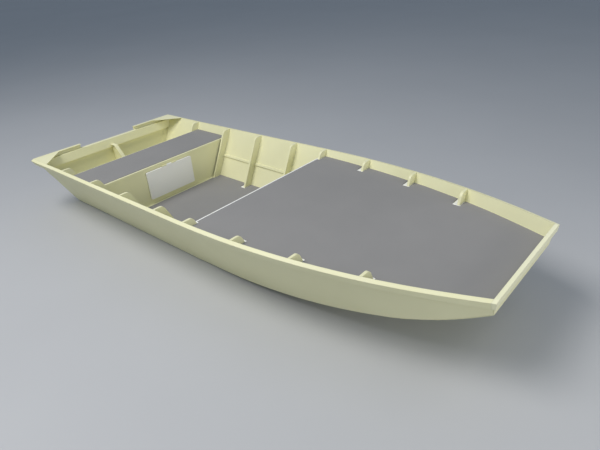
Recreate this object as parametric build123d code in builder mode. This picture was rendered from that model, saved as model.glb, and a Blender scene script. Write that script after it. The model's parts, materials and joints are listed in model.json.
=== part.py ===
from build123d import *
from math import cos, radians, sin, tan
import os

# A flat-bottomed aluminium jon boat, at real size in millimetres.
# Forward is +X, port is +Y and up is +Z. The origin lies amidships, on the
# centreline, at the level the boat stands on.
# Lengths called "from the stern" count forward from the top of the transom.

# Driving dimensions of the hull
overall_length = 4880
plate = 3
strake_height = 8
transom_height = 566
midship_height = 604
bow_height = 650
transom_rake = 15
transom_thickness = 5
bow_rake = 6

# Half-breadths of the hull at the standing level and at the reference height.
# The hull is parallel aft of amidships and tapers from there to the bow, faster
# and faster, and its sides are straight in every section.
reference_height = 600
floor_half = 600
top_half = 896
bow_floor_half = 293
bow_top_half = 488
floor_taper = 2.42
top_taper = 2.32
section_low = -150
section_high = 750
section_count = 10
end_overrun = 100

# Side view of the bottom: where it starts to rise, and the distance from the
# stern and the height of two points of the rise
rise_start = 2215
rise_middle = (overall_length - 695, 240)
rise_end = (overall_length - 18, 512)

# Gunwale: a cap bent outboard, square to the hull side, with a bent-down lip
cap_width = 32
cap_thickness = 3
lip_depth = 55
cap_reach = 100
bow_cap_width = 28
bow_lip_stand = 10

# Transom
notch_half_width = 350
notch_drop = 42
beam_depth = 90
beam_thickness = 38
knee_web = 5
knee_flange_width = 44
knee_flange = 4
knee_crest_height = 466
knee_bend_distance = 151
knee_slope = 45
stiffener_leg = 58
gusset_forward = 290
gusset_across = 250
gusset_shoulder_width = 40
drain_offset = 130
drain_height = 40
drain_radius = 13
drain_wall = 2
drain_length = 25

# Bottom strakes
strake_spacing = 210
strake_count = 5
strake_width = 26
strake_start = 330
strake_end = overall_length - 180

# Side frames: web across the boat, and a flange along its inboard edge that
# turns over the rounded top
frame_depth = 83
frame_flange = 18
frame_top_radius = 50
frame_distances = [636, 1190, 1698, 2210, 2596, 3118, 3628, 4130]

# Side stringers
stringer_height = 305
stringer_depth = 12
stringer_width = 20
stringer_start = 180
stringer_end = overall_length - 695

# Floors
cover_thickness = 5
sole_height = 95
bench_height = 496
deck_height = 545
floor_plate = 4
edge_lip_depth = 26
edge_strip = 18
cover_side_gap = 6
cover_notch_aft = 56
cover_notch_forward = 12
cover_notch_inboard = 16
bench_aft = 642
bench_fore = 1156
deck_aft = 2565
toe_width = 34

# Hatch door in the front of the bench
hatch_width = 570
hatch_height = 300
hatch_foot_gap = 53
hatch_pan_depth = 16
hatch_stand = 6
hatch_opening_margin = 22
hatch_corner = 12
hinge_pin_radius = 3
hinge_running_gap = 0.08
hinge_knuckle_radius = 6.5
hinge_knuckle_length = 60
hinge_knuckle_gap = 0.5
hinge_leaf = 6

# Reach and height of the blocks that cut across the whole hull
hull_reach = 1200
hull_top = 900
stern_x = -overall_length / 2
bow_x = overall_length / 2
hull_inside = strake_height + plate


def transom_face(height, inset=0):
    """X of the raked transom's outer face at a height, moved forward by inset."""
    run = (transom_height - height) * tan(radians(transom_rake))
    return stern_x + run + inset / cos(radians(transom_rake))


def bow_face(height, inset=0):
    """X of the bow plate's outer face at a height, moved aft by inset."""
    lean = (height - bow_height) * tan(radians(bow_rake))
    front = bow_x - (bow_lip_stand + cap_thickness) / cos(radians(bow_rake))
    return front + lean - inset / cos(radians(bow_rake))


def half_breadths(distance):
    """Half-breadths of the hull at the standing level and the reference height."""
    along = max(0, 2 * distance / overall_length - 1)
    floor = floor_half - (floor_half - bow_floor_half) * along**floor_taper
    top = top_half - (top_half - bow_top_half) * along**top_taper
    return floor, top


hull_stations = [
    -end_overrun + k * (overall_length + 2 * end_overrun) / (section_count - 1)
    for k in range(section_count)
]


def hull_space(inset):
    """Space inside the flared sides, moved inward by inset."""
    with BuildPart() as space:
        for distance in hull_stations:
            floor, top = half_breadths(distance)
            flare = (top - floor) / reference_height
            base_half = floor - inset * (1 + flare**2) ** 0.5
            low_half = base_half + flare * section_low
            high_half = base_half + flare * section_high
            with BuildSketch(Plane.YZ.offset(stern_x + distance)):
                with BuildLine():
                    Polyline(
                        (-low_half, section_low),
                        (low_half, section_low),
                        (high_half, section_high),
                        (-high_half, section_high),
                        close=True,
                    )
                make_face()
        loft()
    return space.part


def sheer_height(distance):
    """Height of the hull side's top at a distance from the stern."""
    along = 2 * distance / overall_length - 1
    mean = (transom_height + bow_height) / 2
    rise = (bow_height - transom_height) / 2
    return midship_height + rise * along + (mean - midship_height) * along**2


def roof_space(drop):
    """Space under the tops of the two gunwale caps, lowered by drop.

    Each top slopes down outboard from the sheer, square to the hull side.
    """
    with BuildPart() as space:
        for distance in hull_stations:
            floor, top = half_breadths(distance)
            flare = (top - floor) / reference_height
            level = sheer_height(distance) - drop / (1 + flare**2) ** 0.5
            half = floor + flare * level
            with BuildSketch(Plane.YZ.offset(stern_x + distance)):
                Polygon(
                    (half + cap_reach, section_low),
                    (half + cap_reach, level - flare * cap_reach),
                    (0, level + flare * half),
                    (-half - cap_reach, level - flare * cap_reach),
                    (-half - cap_reach, section_low),
                    align=None,
                )
        loft()
    return space.part


def side_view(lift=0, drop=0, stern=0, bow=0):
    """Side view between the bottom's curve and the sheer, transom and bow.

    lift raises the bottom's curve, drop lowers the sheer, and stern and bow
    move the two ends inward.
    """
    with BuildSketch(Plane.XZ) as view:
        with BuildLine():
            base = strake_height + lift
            flat = Line((stern_x - hull_reach, base), (stern_x + rise_start, base))
            middle = (stern_x + rise_middle[0], rise_middle[1] + lift)
            rise = TangentArc(flat @ 1, middle, tangent=flat % 1)
            end = (stern_x + rise_end[0], rise_end[1] + lift)
            sweep_up = TangentArc(rise @ 1, end, tangent=rise % 1)
            beyond = sweep_up @ 1 + (sweep_up % 1) * hull_reach
            Polyline(
                sweep_up @ 1,
                beyond,
                (beyond.X, hull_top * 2),
                (stern_x - hull_reach, hull_top * 2),
                flat @ 0,
            )
        make_face()
        with BuildLine():
            sheer = ThreePointArc(
                (stern_x, transom_height - drop),
                (0, midship_height - drop),
                (bow_x, bow_height - drop),
            )
            fore = sheer @ 1 + (sheer % 1) * hull_reach
            aft = sheer @ 0 - (sheer % 0) * hull_reach
            Line(sheer @ 1, fore)
            Polyline(fore, (fore.X, -hull_top), (aft.X, -hull_top), aft)
            Line(aft, sheer @ 0)
        make_face(mode=Mode.INTERSECT)
        with BuildLine():
            Polyline(
                (transom_face(-hull_top, stern), -hull_top),
                (bow_face(-hull_top, bow), -hull_top),
                (bow_face(hull_top, bow), hull_top),
                (transom_face(hull_top, stern), hull_top),
                close=True,
            )
        make_face(mode=Mode.INTERSECT)
    return view.sketch


def slab(aft, fore):
    """Tall block across the whole hull between two distances from the stern."""
    with BuildPart() as block:
        with BuildSketch(Plane.XY.offset(-hull_top)):
            with Locations((stern_x + (aft + fore) / 2, 0)):
                Rectangle(fore - aft, 2 * hull_reach)
        extrude(amount=2 * hull_top)
    return block.part


def hull_slice(space, lift=0, drop=0, stern=0, bow=0):
    """The part of a hull space that lies within a side view."""
    with BuildPart() as piece:
        extrude(side_view(lift, drop, stern, bow), amount=hull_reach, both=True)
        add(space, mode=Mode.INTERSECT)
    return piece.part


def capped(space, roof, lift=0, drop=0, bow=0):
    """The part of a hull space that lies within a side view and under a roof."""
    with BuildPart() as piece:
        add(hull_slice(space, lift=lift, drop=drop, bow=bow))
        add(roof, mode=Mode.INTERSECT)
    return piece.part


def level_plate(top, thickness, aft, fore, space):
    """Level plate between two distances from the stern, cut to a hull space."""
    with BuildPart() as layer:
        with BuildSketch(Plane.XY.offset(top - thickness)):
            with Locations((stern_x + (aft + fore) / 2, 0)):
                Rectangle(fore - aft, 2 * hull_reach)
        extrude(amount=thickness)
        add(space, mode=Mode.INTERSECT)
    return layer.part


def one_side(part, side):
    """The half of a part that lies on one side of the centreline."""
    with BuildPart() as half:
        add(part)
        split(bisect_by=Plane.XZ, keep=Keep.BOTTOM if side == "port" else Keep.TOP)
    return half.part


def finish(part, name):
    """Label a finished piece and write it."""
    part.label = name
    export_step(part, f"parts/{name}.step")


os.makedirs("parts", exist_ok=True)

outer_space = hull_space(0)
inner_space = hull_space(plate)
lip_space = hull_space(-cap_width)
lip_inside = hull_space(cap_thickness - cap_width)
cap_top = roof_space(0)
cap_underside = roof_space(cap_thickness)
lip_foot = roof_space(lip_depth)
frame_space = hull_space(plate + frame_depth)
cover_space = hull_space(plate + cover_side_gap)
bow_cap_aft = overall_length - bow_cap_width

# The room inside the plates, from the bottom plate to the underside of the cap
inside = hull_slice(inner_space, lift=plate, drop=cap_thickness)

# Bottom plate: flat aft, then rising to the bow plate
with BuildPart() as bottom_plate:
    extrude(side_view(), amount=hull_reach, both=True)
    extrude(side_view(lift=plate), amount=hull_reach, both=True, mode=Mode.SUBTRACT)
    add(outer_space, mode=Mode.INTERSECT)
finish(bottom_plate.part, "bottom_plate")

# Strakes that stiffen the bottom and that the boat stands on
with BuildPart() as bottom_strakes:
    with GridLocations(0, strake_spacing, 1, strake_count):
        add(
            extrude(
                side_view(lift=-strake_height) - side_view(),
                amount=strake_width / 2,
                both=True,
                mode=Mode.PRIVATE,
            )
        )
    add(slab(strake_start, strake_end), mode=Mode.INTERSECT)
finish(bottom_strakes.part, "bottom_strakes")

# Flared side plates, standing on the bottom plate
with BuildPart() as side_plates:
    add(capped(outer_space, cap_underside, lift=plate, drop=cap_thickness, bow=plate))
    add(inner_space, mode=Mode.SUBTRACT)

# Gunwales: cap and outside lip along both sides, as far as the bow cap
with BuildPart() as gunwales:
    add(capped(lip_space, cap_top))
    add(capped(lip_space, lip_foot, drop=lip_depth, bow=-hull_reach), mode=Mode.SUBTRACT)
    add(
        capped(lip_inside, cap_underside, drop=cap_thickness, bow=-hull_reach),
        mode=Mode.SUBTRACT,
    )
    add(inner_space, mode=Mode.SUBTRACT)
    add(slab(-overall_length, bow_cap_aft), mode=Mode.INTERSECT)

# Side stringers, half way up the inside of each side plate
with BuildPart() as side_stringers:
    add(slab(stringer_start, stringer_end))
    with BuildSketch(Plane.XY.offset(stringer_height - stringer_width / 2)):
        Rectangle(2 * overall_length, 2 * hull_reach)
    extrude(amount=stringer_width, mode=Mode.INTERSECT)
    add(inside, mode=Mode.INTERSECT)
    add(hull_space(plate + stringer_depth), mode=Mode.SUBTRACT)

for side in ("port", "starboard"):
    finish(one_side(side_plates.part, side), f"side_{side}")
    finish(one_side(gunwales.part, side), f"gunwale_{side}")
    finish(one_side(side_stringers.part, side), f"side_stringer_{side}")

# Bow plate, between the sides and under the bow cap
with BuildPart() as bow_plate:
    add(capped(outer_space, cap_underside, lift=plate, drop=cap_thickness))
    extrude(side_view(bow=plate), amount=hull_reach, both=True, mode=Mode.SUBTRACT)
finish(bow_plate.part, "bow_plate")

# Bow cap: a flat cap with a lip round the front and both corners
with BuildPart() as bow_cap:
    add(capped(lip_space, cap_top, bow=-bow_lip_stand - cap_thickness))
    add(capped(lip_space, lip_foot, drop=lip_depth, bow=-hull_reach), mode=Mode.SUBTRACT)
    add(
        capped(lip_inside, cap_underside, drop=cap_thickness, bow=-bow_lip_stand),
        mode=Mode.SUBTRACT,
    )
    add(slab(bow_cap_aft, 2 * overall_length), mode=Mode.INTERSECT)
finish(bow_cap.part, "bow_cap")

# Transom plate, as high as the wide shallow notch for the motor
notch_level = transom_height - notch_drop
with BuildPart() as transom:
    add(inside)
    extrude(side_view(stern=transom_thickness), amount=hull_reach, both=True, mode=Mode.SUBTRACT)
with BuildPart() as transom_plate:
    add(transom.part)
    split(bisect_by=Plane.XY.offset(notch_level), keep=Keep.BOTTOM)
    with BuildSketch(Plane.YZ.offset(stern_x - hull_reach)):
        with Locations((-drain_offset, drain_height)):
            Circle(drain_radius)
    extrude(amount=2 * hull_reach, mode=Mode.SUBTRACT)
finish(transom_plate.part, "transom_plate")

# Drain tube through the foot of the transom, cut flush with its outer face
with BuildPart() as drain_tube:
    with BuildSketch(Plane.YZ.offset(transom_face(drain_height + drain_radius))):
        with Locations((-drain_offset, drain_height)):
            Circle(drain_radius)
            Circle(drain_radius - drain_wall, mode=Mode.SUBTRACT)
    extrude(amount=transom_thickness + drain_length)
    extrude(side_view(), amount=hull_reach, both=True, mode=Mode.INTERSECT)
finish(drain_tube.part, "drain_tube")

# Beam along the top of the transom's inner face, where the motor clamps
beam_face = transom_thickness + beam_thickness
beam_foot = notch_level - beam_depth
with BuildPart() as transom_beam:
    with BuildSketch(Plane.XZ):
        Polygon(
            (transom_face(notch_level, transom_thickness), notch_level),
            (transom_face(beam_foot, transom_thickness), beam_foot),
            (transom_face(beam_foot, beam_face), beam_foot),
            (transom_face(notch_level, beam_face), notch_level),
            align=None,
        )
    extrude(amount=hull_reach, both=True)
    add(inner_space, mode=Mode.INTERSECT)
finish(transom_beam.part, "transom_beam")

# Knee that braces the transom: a flange that runs level from the beam and then
# slopes down to the bottom, on a web
knee_bend_x = stern_x + knee_bend_distance
knee_toe_x = knee_bend_x + (knee_crest_height - hull_inside) / tan(radians(knee_slope))
knee_slope_run = knee_flange / sin(radians(knee_slope))
with BuildPart() as transom_knee:
    with BuildSketch(Plane.XZ):
        with BuildLine():
            Polyline(
                (transom_face(knee_crest_height, beam_face), knee_crest_height),
                (knee_bend_x, knee_crest_height),
                (knee_toe_x, hull_inside),
                (knee_toe_x - knee_slope_run, hull_inside),
                (
                    knee_bend_x - knee_flange * tan(radians(knee_slope / 2)),
                    knee_crest_height - knee_flange,
                ),
                (
                    transom_face(knee_crest_height - knee_flange, beam_face),
                    knee_crest_height - knee_flange,
                ),
                close=True,
            )
        make_face()
    extrude(amount=knee_flange_width / 2, both=True)
    with BuildSketch(Plane.XZ):
        Polygon(
            (transom_face(knee_crest_height, beam_face), knee_crest_height),
            (transom_face(beam_foot, beam_face), beam_foot),
            (transom_face(beam_foot, transom_thickness), beam_foot),
            (transom_face(hull_inside, transom_thickness), hull_inside),
            (knee_toe_x, hull_inside),
            (knee_bend_x, knee_crest_height),
            align=None,
        )
    extrude(amount=knee_web / 2, both=True)
finish(transom_knee.part, "transom_knee")

# Corner gussets level with the sheer. Their turned-down aft edges are the
# transom's shoulders on both sides of the notch.
with BuildPart() as shoulders:
    add(transom.part)
    split(bisect_by=Plane.XY.offset(notch_level), keep=Keep.TOP)
with BuildPart() as gussets:
    add(hull_slice(inner_space))
    extrude(side_view(drop=cap_thickness), amount=hull_reach, both=True, mode=Mode.SUBTRACT)
    aft = transom_face(transom_height)
    edge = top_half - cap_width
    with BuildSketch(Plane.XY):
        Polygon(
            (aft - hull_reach, 0),
            (aft - hull_reach, hull_reach),
            (aft + gusset_forward, hull_reach),
            (aft + gusset_forward, edge),
            (aft + gusset_shoulder_width, edge - gusset_across),
            (aft + gusset_shoulder_width, 0),
            align=None,
        )
        mirror(about=Plane.XZ)
    extrude(amount=hull_top, mode=Mode.INTERSECT)
    add(shoulders.part)
    with BuildSketch(Plane.XY):
        Rectangle(2 * overall_length, 2 * notch_half_width)
    extrude(amount=hull_top, mode=Mode.SUBTRACT)

# Upright angle stiffeners in the two corners of the transom, under the beam
with BuildPart() as stiffeners:
    add(inside)
    extrude(side_view(stern=transom_thickness), amount=hull_reach, both=True, mode=Mode.INTERSECT)
    extrude(
        side_view(stern=transom_thickness + stiffener_leg),
        amount=hull_reach,
        both=True,
        mode=Mode.SUBTRACT,
    )
    add(hull_space(plate + stiffener_leg), mode=Mode.SUBTRACT)
    add(
        hull_slice(hull_space(2 * plate), stern=transom_thickness + plate),
        mode=Mode.SUBTRACT,
    )
    split(bisect_by=Plane.XY.offset(beam_foot), keep=Keep.BOTTOM)

for side in ("port", "starboard"):
    finish(one_side(gussets.part, side), f"corner_gusset_{side}")
    finish(one_side(stiffeners.part, side), f"corner_stiffener_{side}")

# Side frames, all alike but for the hull's shape where they stand. Those in
# the cockpit stand on its sole, and the rest on the bottom plate.
sole_base = sole_height - cover_thickness
port_inside = one_side(inside, "port")
port_stringer = one_side(side_stringers.part, "port")


def frame_outline(place, inset=0):
    """Port web of a frame seen along the boat, with its inboard top corner round.

    inset moves the inboard edge and the top in by a flange's thickness.
    """
    station = Plane.YZ.offset(place)
    levels = section(port_inside - frame_space, section_by=station).vertices().group_by(Axis.Z)
    inboard_foot, outboard_foot = levels[0].sort_by(Axis.Y)
    inboard_top, outboard_top = levels[-1].sort_by(Axis.Y)
    with BuildSketch(station) as outline:
        Polygon(
            (inboard_foot.Y + inset, inboard_foot.Z),
            (outboard_foot.Y, outboard_foot.Z),
            (outboard_top.Y, outboard_top.Z - inset),
            (inboard_top.Y + inset, inboard_top.Z - inset),
            align=None,
        )
        fillet(
            outline.vertices().sort_by_distance((inboard_top.Y + inset, inboard_top.Z - inset))[0],
            radius=frame_top_radius - inset,
        )
    return outline.sketch


frames = []
for number, distance in enumerate(frame_distances, start=1):
    place = stern_x + distance
    web = frame_outline(place)
    flange = web - frame_outline(place, plate)
    with BuildPart() as frame:
        extrude(web, amount=plate, dir=(1, 0, 0))
        extrude(flange, amount=frame_flange, dir=(-1, 0, 0))
        add(port_inside, mode=Mode.INTERSECT)
        add(port_stringer, mode=Mode.SUBTRACT)
        if bench_fore < distance < deck_aft:
            split(bisect_by=Plane.XY.offset(sole_base), keep=Keep.TOP)
        mirror(about=Plane.XZ)
    frames.append(frame.part)
    finish(frame.part, f"frame_{number}")

# Sole of the cockpit, between the two bulkheads
with BuildPart() as cockpit_sole:
    add(level_plate(sole_base, floor_plate, bench_fore, deck_aft, inner_space))
finish(cockpit_sole.part, "cockpit_sole")

# Bench across the stern: top plate with turned-down edges, front and back
bench_base = bench_height - cover_thickness
with BuildPart() as bench_top:
    add(level_plate(bench_base, edge_lip_depth, bench_aft, bench_fore + plate, inner_space))
    add(
        level_plate(
            bench_base - floor_plate, hull_top, bench_aft + plate, bench_fore, outer_space
        ),
        mode=Mode.SUBTRACT,
    )
finish(bench_top.part, "bench_top")


def bulkhead(face, top):
    """Upright plate across the hull whose aft face is at a distance from the stern."""
    with BuildPart() as wall:
        add(slab(face, face + plate))
        add(inside, mode=Mode.INTERSECT)
        split(bisect_by=Plane.XY.offset(top), keep=Keep.BOTTOM)
        add(side_stringers.part, mode=Mode.SUBTRACT)
    return wall.part


hatch_centre = sole_height + hatch_foot_gap + hatch_height / 2
with BuildPart() as bench_front:
    add(bulkhead(bench_fore - plate, bench_base - floor_plate))
    with BuildSketch(Plane.YZ.offset(stern_x + bench_fore - hull_reach / 2)):
        with Locations((0, hatch_centre)):
            Rectangle(
                hatch_width - 2 * hatch_opening_margin,
                hatch_height - 2 * hatch_opening_margin,
            )
        fillet(vertices(), radius=hatch_corner)
    extrude(amount=hull_reach, mode=Mode.SUBTRACT)
finish(bench_front.part, "bench_front")
finish(bulkhead(bench_aft + plate, bench_base - floor_plate), "bench_back")
finish(bulkhead(deck_aft, deck_height - cover_thickness - floor_plate), "deck_bulkhead")

# Toe strip along the foot of the bench front
with BuildPart() as bench_toe:
    add(level_plate(sole_base + plate, plate, bench_fore, bench_fore + toe_width, inner_space))
    add(frames[1], mode=Mode.SUBTRACT)
finish(bench_toe.part, "bench_toe")

# Fore deck, slotted for the frames that pass through it
deck_base = deck_height - cover_thickness
cockpit_frames = [
    number
    for number, distance in enumerate(frame_distances, start=1)
    if bench_fore < distance < deck_aft
]
deck_frames = [
    number for number, distance in enumerate(frame_distances, start=1) if distance > deck_aft
]
with BuildPart() as fore_deck:
    add(level_plate(deck_base, floor_plate, deck_aft, overall_length, inner_space))
    extrude(side_view(bow=plate), amount=hull_reach, both=True, mode=Mode.INTERSECT)
    for number in deck_frames:
        add(frames[number - 1], mode=Mode.SUBTRACT)
finish(fore_deck.part, "fore_deck")


def floor_cover(base, aft, fore, notched):
    """Grey cover that lies on a floor and stands clear of the sides and frames."""
    with BuildPart() as cover:
        add(level_plate(base + cover_thickness, cover_thickness, aft, fore, cover_space))
        extrude(
            side_view(bow=plate + cover_side_gap),
            amount=hull_reach,
            both=True,
            mode=Mode.INTERSECT,
        )
        for number in notched:
            place = stern_x + frame_distances[number - 1]
            station = section(frame_space, section_by=Plane.YZ.offset(place))
            notch_edge = (station & Plane.XY.offset(base)).bounding_box().max.Y - cover_notch_inboard
            with BuildSketch(Plane.XY.offset(base)):
                with Locations((place + (cover_notch_forward - cover_notch_aft) / 2, 0)):
                    Rectangle(cover_notch_forward + cover_notch_aft, 2 * hull_reach)
                    Rectangle(2 * cover_notch_aft, 2 * notch_edge, mode=Mode.SUBTRACT)
            extrude(amount=cover_thickness, mode=Mode.SUBTRACT)
    return cover.part


finish(
    floor_cover(sole_base, bench_fore + toe_width, deck_aft - plate, cockpit_frames),
    "sole_cover",
)
finish(
    floor_cover(bench_base, bench_aft + edge_strip, bench_fore - edge_strip, []),
    "bench_cover",
)
finish(
    floor_cover(deck_base, deck_aft + edge_strip, overall_length, deck_frames),
    "deck_cover",
)

# Edge angle along the aft edge of the fore deck
with BuildPart() as deck_edge:
    add(level_plate(deck_base, edge_lip_depth, deck_aft - plate, deck_aft, inner_space))
finish(deck_edge.part, "deck_edge")

# Hatch door: a shallow pan hung from a hinge along its top edge
hatch_back = stern_x + bench_fore + hatch_stand
hinge_height = hatch_centre + hatch_height / 2 + hinge_knuckle_radius
hinge_x = hatch_back + hatch_pan_depth / 2
with BuildPart() as hatch_door:
    with BuildSketch(Plane.YZ.offset(hatch_back)):
        with Locations((0, hatch_centre)):
            Rectangle(hatch_width, hatch_height)
        fillet(vertices(), radius=hatch_corner)
    extrude(amount=hatch_pan_depth)
    with BuildSketch(Plane.YZ.offset(hatch_back)):
        with Locations((0, hatch_centre)):
            Rectangle(hatch_width - 2 * plate, hatch_height - 2 * plate)
        fillet(vertices(), radius=hatch_corner - plate)
    extrude(amount=hatch_pan_depth - plate, mode=Mode.SUBTRACT)
    with BuildSketch(Plane.XZ):
        with Locations((hinge_x, hinge_height)):
            Circle(hinge_knuckle_radius)
        with Locations((hinge_x, hinge_height - hinge_knuckle_radius)):
            Rectangle(2 * hinge_knuckle_radius, hinge_leaf)
    extrude(amount=hinge_knuckle_length / 2, both=True)
    with BuildSketch(Plane.XZ):
        with Locations((hinge_x, hinge_height)):
            Circle(hinge_pin_radius + hinge_running_gap)
    extrude(amount=hull_reach, both=True, mode=Mode.SUBTRACT)
finish(hatch_door.part, "hatch_door")

# Fixed half of the hinge: leaf on the bench front, outer knuckles and pin
with BuildPart() as hatch_hinge:
    for sign in (-1, 1):
        middle = sign * (hinge_knuckle_length + hinge_knuckle_gap)
        with BuildSketch(Plane.XZ.offset(-middle)):
            with Locations((hinge_x, hinge_height)):
                Circle(hinge_knuckle_radius)
            with Locations(((hinge_x + stern_x + bench_fore) / 2, hinge_height)):
                Rectangle(hinge_x - stern_x - bench_fore, hinge_leaf)
        extrude(amount=hinge_knuckle_length / 2, both=True)
    with BuildSketch(Plane.XZ):
        with Locations((hinge_x, hinge_height)):
            Circle(hinge_pin_radius)
    extrude(amount=hinge_knuckle_length * 1.5 + hinge_knuckle_gap, both=True)
finish(hatch_hinge.part, "hatch_hinge")
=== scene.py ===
"""Finishes a welded aluminium jon boat: its paint, coverings, welds, fittings and studio."""

import json
import logging
import math
from collections.abc import Callable
from dataclasses import dataclass, field
from enum import Enum

import bmesh
import bpy
from bpy.types import Material, Node, NodeSocket, NodeTree, Object
from mathutils import Matrix, Vector
from mathutils.bvhtree import BVHTree

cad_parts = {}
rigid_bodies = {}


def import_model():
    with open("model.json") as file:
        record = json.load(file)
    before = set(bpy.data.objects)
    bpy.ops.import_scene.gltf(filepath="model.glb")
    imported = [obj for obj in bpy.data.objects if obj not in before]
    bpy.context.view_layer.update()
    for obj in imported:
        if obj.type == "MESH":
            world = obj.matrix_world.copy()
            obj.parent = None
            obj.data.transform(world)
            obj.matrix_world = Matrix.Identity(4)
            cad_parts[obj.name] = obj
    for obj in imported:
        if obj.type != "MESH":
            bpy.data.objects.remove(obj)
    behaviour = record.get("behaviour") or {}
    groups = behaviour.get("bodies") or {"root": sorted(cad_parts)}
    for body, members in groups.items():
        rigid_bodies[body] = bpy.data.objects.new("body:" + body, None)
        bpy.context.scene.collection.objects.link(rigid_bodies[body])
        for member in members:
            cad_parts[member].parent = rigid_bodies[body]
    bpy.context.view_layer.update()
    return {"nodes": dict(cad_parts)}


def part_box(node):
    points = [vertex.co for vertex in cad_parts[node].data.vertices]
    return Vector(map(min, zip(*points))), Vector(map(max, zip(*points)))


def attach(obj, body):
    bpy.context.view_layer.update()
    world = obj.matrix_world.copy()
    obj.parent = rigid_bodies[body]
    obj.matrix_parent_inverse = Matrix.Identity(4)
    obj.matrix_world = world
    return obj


bpy.ops.object.select_all(action="SELECT")
bpy.ops.object.delete()
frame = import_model()

log = logging.getLogger("jon_boat")

Colour = tuple[float, float, float]
Place = tuple[float, float, float]
Feed = float | Colour | NodeSocket

# Directions on the boat
AHEAD: Place = (1.0, 0.0, 0.0)
ASTERN: Place = (-1.0, 0.0, 0.0)
UP: Place = (0.0, 0.0, 1.0)
DOWN: Place = (0.0, 0.0, -1.0)

# Short lengths in metres: corners closer than MERGE become one, corners within TINY or NEAR of a
# plane lie in it, and a line that looks for a seam passes a plate's face at CLEAR
MERGE = 1e-6
TINY = 1e-5
NEAR = 1e-4
CLEAR = 1e-3

# How much of a normal points along an axis where a face looks that way
FACING = 0.9


class Side(Enum):
    """The two sides of the boat, by the sign of Y."""

    PORT = 1
    STARBOARD = -1

    @property
    def word(self) -> str:
        """The side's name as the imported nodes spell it."""
        return self.name.lower()


# Working in Blender


def take(piece: Object) -> None:
    """Makes one object the only selected and the active one."""
    bpy.ops.object.select_all(action="DESELECT")
    piece.select_set(True)
    bpy.context.view_layer.objects.active = piece


def placed() -> Object:
    """Puts the place, turn and size of the primitive just added into its mesh, and hands it on."""
    bpy.ops.object.transform_apply(location=True, rotation=True, scale=True)
    return bpy.context.object


class Editing:
    """Edit mode on one object, with its faces or edges selected by how they lie."""

    def __init__(self, piece: Object, mode: str = "FACE") -> None:
        """Keeps the mesh object to edit, and whether its FACEs or its EDGEs are selected."""
        self.piece = piece
        self.mode = mode

    def __enter__(self) -> "Editing":
        """Opens edit mode with nothing selected, and hands itself on to select with."""
        take(self.piece)
        bpy.ops.object.mode_set(mode="EDIT")
        bpy.ops.mesh.select_mode(type=self.mode)
        bpy.ops.mesh.select_all(action="DESELECT")
        return self

    def __exit__(self, *failure: object) -> None:
        """Goes back to object mode."""
        bpy.ops.object.mode_set(mode="OBJECT")

    def faces(self, test: Callable[[Vector], bool]) -> None:
        """Selects the faces whose normal passes a test, and no others."""
        self.pick("faces", lambda face: test(face.normal))

    def edges(self, test: Callable[[Vector, Vector], bool]) -> None:
        """Selects the edges whose two ends pass a test, and no others."""
        self.pick("edges", lambda edge: test(edge.verts[0].co, edge.verts[1].co))

    def pick(self, kind: str, test: Callable[[object], bool]) -> None:
        """Selects the faces or edges that pass a test, and no others.

        Args:
            kind: faces or edges.
            test: takes a face or an edge.
        """
        bpy.ops.mesh.select_all(action="DESELECT")
        mesh = bmesh.from_edit_mesh(self.piece.data)
        for part in getattr(mesh, kind):
            part.select_set(test(part))
        bmesh.update_edit_mesh(self.piece.data)

    def everything(self) -> None:
        """Selects the whole mesh."""
        bpy.ops.mesh.select_all(action="SELECT")


def smooth(piece: Object, crease: float) -> None:
    """Shades a piece smooth, but for its edges that turn by more than an angle in degrees."""
    take(piece)
    bpy.ops.object.shade_smooth_by_angle(angle=math.radians(crease))


def settle(piece: Object, name: str) -> Object:
    """Names a piece, puts its place into its mesh and turns its faces outwards.

    Args:
        piece: a mesh object.
        name: its final name.

    Returns:
        The same object, at the origin, unturned and unscaled.
    """
    piece.name = name
    piece.data.name = name
    take(piece)
    bpy.ops.object.transform_apply(location=True, rotation=True, scale=True)
    with Editing(piece) as edit:
        edit.everything()
        bpy.ops.mesh.remove_doubles(threshold=MERGE)
        edit.everything()
        bpy.ops.mesh.normals_make_consistent(inside=False)
    return piece


def repeated(pattern: Object, places: list[Matrix]) -> list[Object]:
    """Stands a copy of a piece at each place and removes the piece itself.

    Args:
        pattern: the piece to copy.
        places: where each copy stands.

    Returns:
        The copies, each with its own mesh.
    """
    copies = []
    for place in places:
        copy = pattern.copy()
        copy.data = pattern.data.copy()
        bpy.context.scene.collection.objects.link(copy)
        copy.matrix_world = place
        copies.append(copy)
    bpy.data.objects.remove(pattern, do_unlink=True)
    return copies


def joined(pieces: list[Object], name: str) -> Object:
    """Joins several objects into one.

    Args:
        pieces: the objects, each with its own mesh.
        name: the joined object's name.

    Returns:
        The joined object.
    """
    take(pieces[0])
    for piece in pieces[1:]:
        piece.select_set(True)
    bpy.ops.object.join()
    return settle(bpy.context.object, name)


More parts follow.
